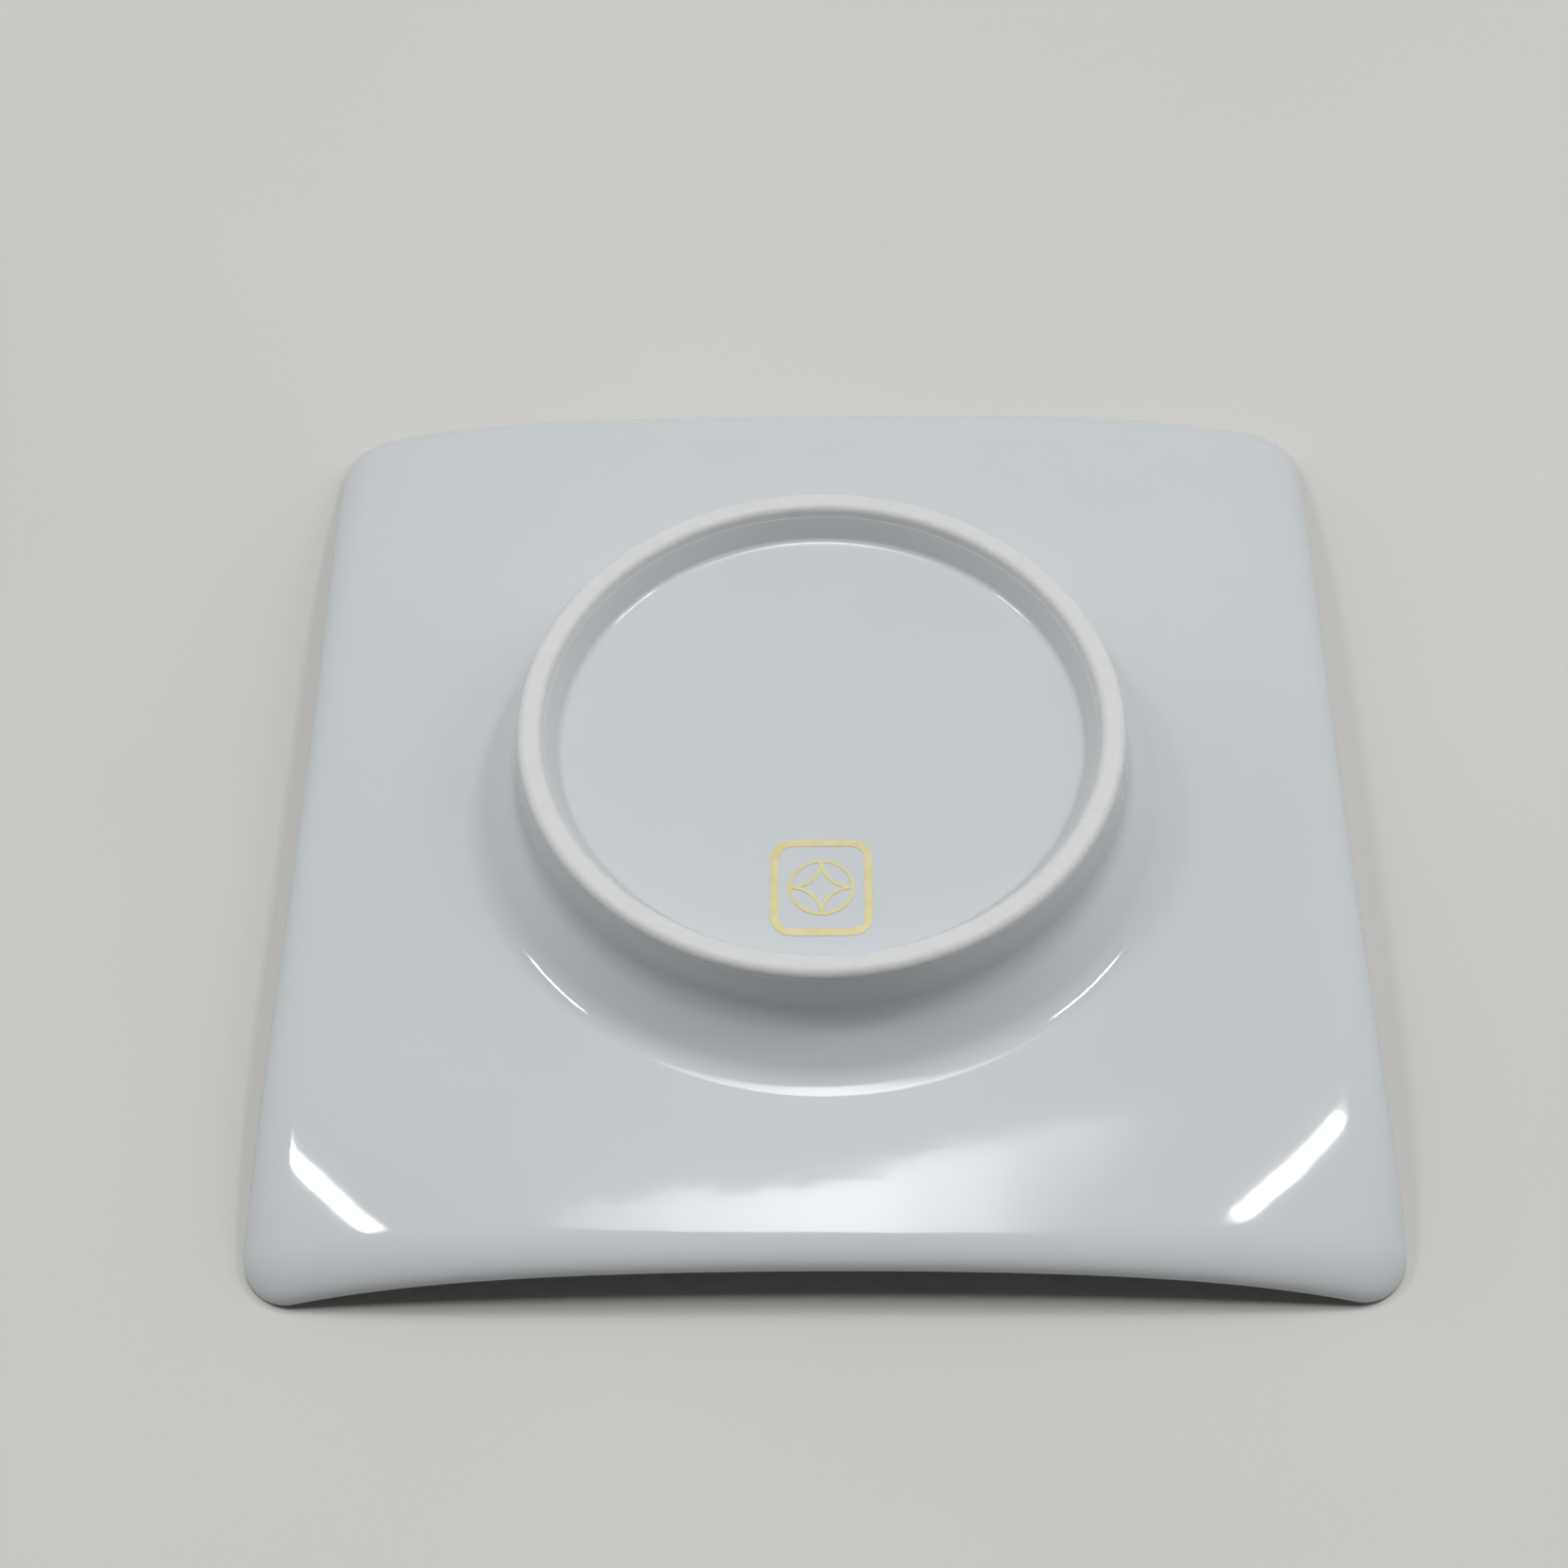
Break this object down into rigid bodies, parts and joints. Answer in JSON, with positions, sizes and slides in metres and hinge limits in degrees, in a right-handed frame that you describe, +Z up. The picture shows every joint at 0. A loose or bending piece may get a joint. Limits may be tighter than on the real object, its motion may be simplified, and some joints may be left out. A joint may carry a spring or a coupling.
{
  "type": "soy sauce dish",
  "caption": "Small square glazed porcelain dish for soy sauce, with a round well, a curved flange with dipped corners and a round foot ring, stored face down.",
  "frame": {"origin": "Middle of the square plate, at the height of the rim corners' lowest points, which the dish rests on as pictured.", "axes": "+Z is up as pictured, out of the foot's bare edge; the dish lies face down. X and Y run along the plate's sides, and the gilt mark lies towards -Y. A half turn about X puts the dish on its foot, ready for use."},
  "size_m": [0.1, 0.1, 0.0178],
  "materials": {
    "clay": "matte",
    "glaze": "gloss",
    "gilding": "satin"
  },
  "bodies": {
    "root": {"plate_body": "clay", "foot_ring": "clay", "back_glaze": "glaze", "face_glaze": "glaze", "base_glaze": "glaze", "gilt_mark": "gilding"}
  },
  "joints": []
}
